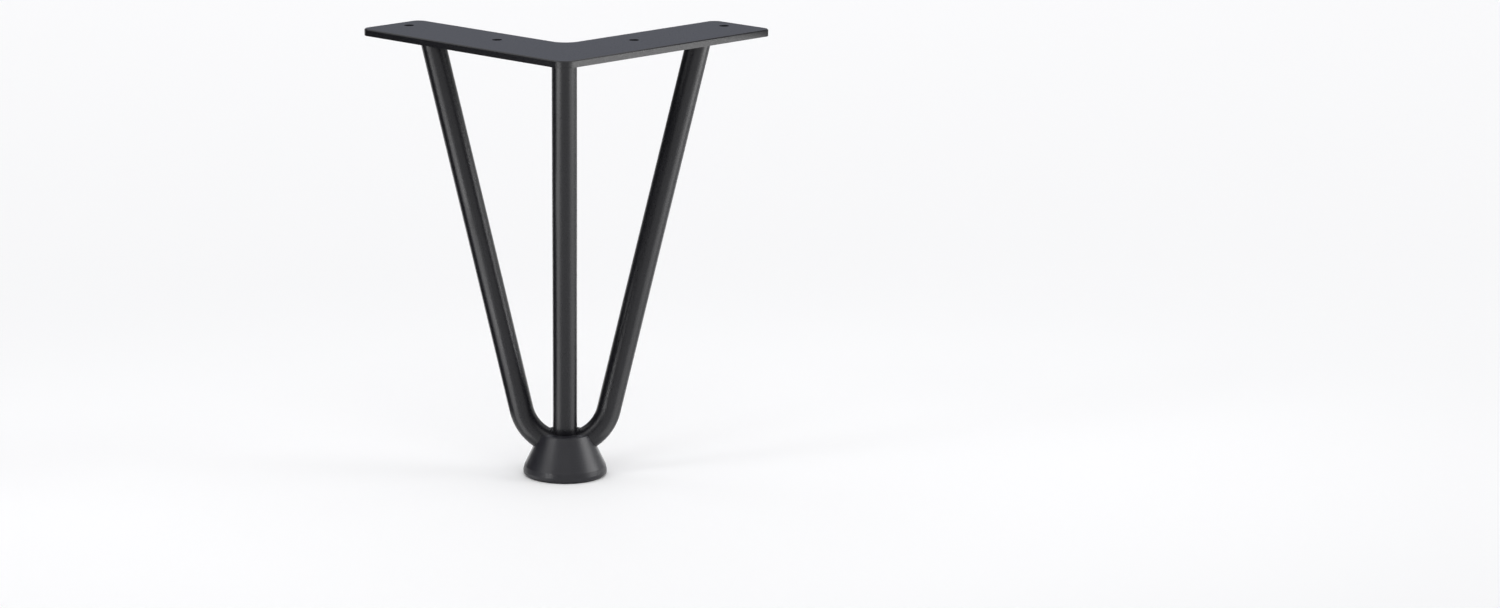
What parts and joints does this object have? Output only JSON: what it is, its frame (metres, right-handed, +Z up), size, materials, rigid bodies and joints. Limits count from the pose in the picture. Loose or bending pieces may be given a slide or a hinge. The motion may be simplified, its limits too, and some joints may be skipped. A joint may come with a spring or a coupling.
{
  "type": "hairpin table leg",
  "caption": "Short black hairpin furniture leg: L-shaped corner plate with screw holes on a bent rod and a straight rod that meet in a cone-shaped foot.",
  "frame": {"origin": "on the mounting plate's top face, over the corner rod's axis", "axes": "+Z up, out of the plate's top face; +Y back from the plate's outer corner along the mirror line between the arms; +X to the right seen from the outer corner"},
  "size_m": [0.1994, 0.1253, 0.2124],
  "materials": {
    "black_powder_coat": "satin black powder coat on steel",
    "black_rubber": "moulded black rubber with a soft sheen"
  },
  "bodies": {
    "root": {"mounting_plate": "black_powder_coat", "hairpin_rod": "black_powder_coat", "corner_rod": "black_powder_coat", "plate_welds": "black_powder_coat", "bend_welds": "black_powder_coat", "foot": "black_rubber"}
  },
  "joints": []
}
